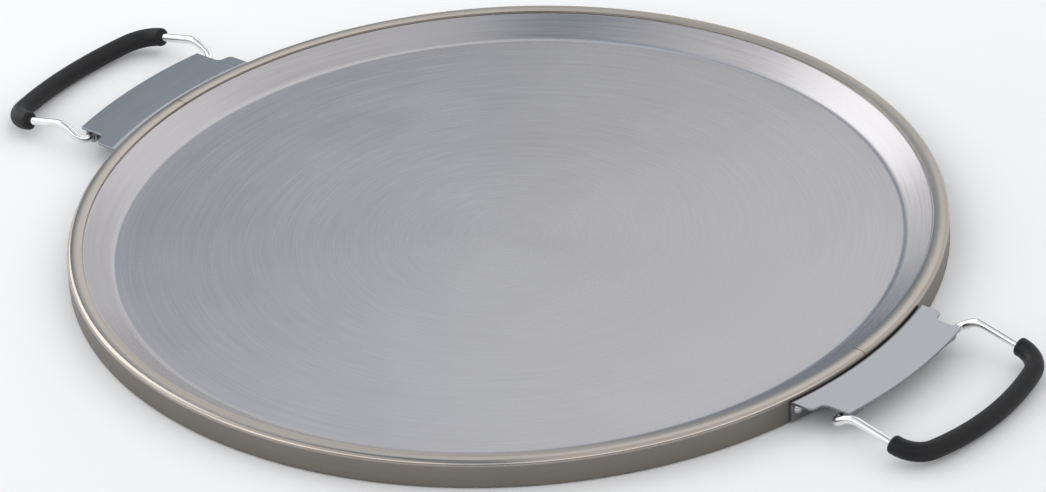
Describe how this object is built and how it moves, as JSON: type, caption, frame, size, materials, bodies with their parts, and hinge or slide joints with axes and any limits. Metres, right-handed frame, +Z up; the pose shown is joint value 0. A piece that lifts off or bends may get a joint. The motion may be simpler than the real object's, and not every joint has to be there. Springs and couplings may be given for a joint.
{
  "type": "round pizza pan with folding bail handles",
  "caption": "Shallow round steel pizza pan: a pressed baking plate held in a two-part rim ring, with riveted sheet brackets and folding wire bail handles in black rubber grips.",
  "frame": {"origin": "centre of the pan at table height, on the plane that the ring's foot stands on", "axes": "+Z up out of the pan; +X and -X towards the two handles, along the longest extent; +Y along the hinge lines"},
  "size_m": [0.435, 0.32, 0.0124],
  "materials": {
    "plate_steel": "polished stainless sheet with fine turned grain",
    "ring_steel": "satin stainless sheet, brushed along the rim",
    "bracket_steel": "polished stainless sheet",
    "rivet_steel": "bright steel rivet heads",
    "chrome_wire": "bright chrome-plated wire",
    "black_rubber": "smooth satin moulded rubber"
  },
  "bodies": {
    "pan": {"baking_plate": "plate_steel", "front_half_ring": "ring_steel", "rear_half_ring": "ring_steel", "right_bracket": "bracket_steel", "left_bracket": "bracket_steel", "right_bracket_rivets": "rivet_steel", "left_bracket_rivets": "rivet_steel"},
    "right_handle": {"right_bail": "chrome_wire", "right_grip": "black_rubber"},
    "left_handle": {"left_bail": "chrome_wire", "left_grip": "black_rubber"}
  },
  "joints": [
    {"name": "right_bail_hinge", "type": "hinge", "parent": "pan", "child": "right_handle", "pos_m": [0.1733, 0, 0.0063], "axis": [0, -1, 0], "range_deg": [0, 112]},
    {"name": "left_bail_hinge", "type": "hinge", "parent": "pan", "child": "left_handle", "pos_m": [-0.1733, 0, 0.0063], "axis": [0, 1, 0], "range_deg": [0, 112]}
  ]
}
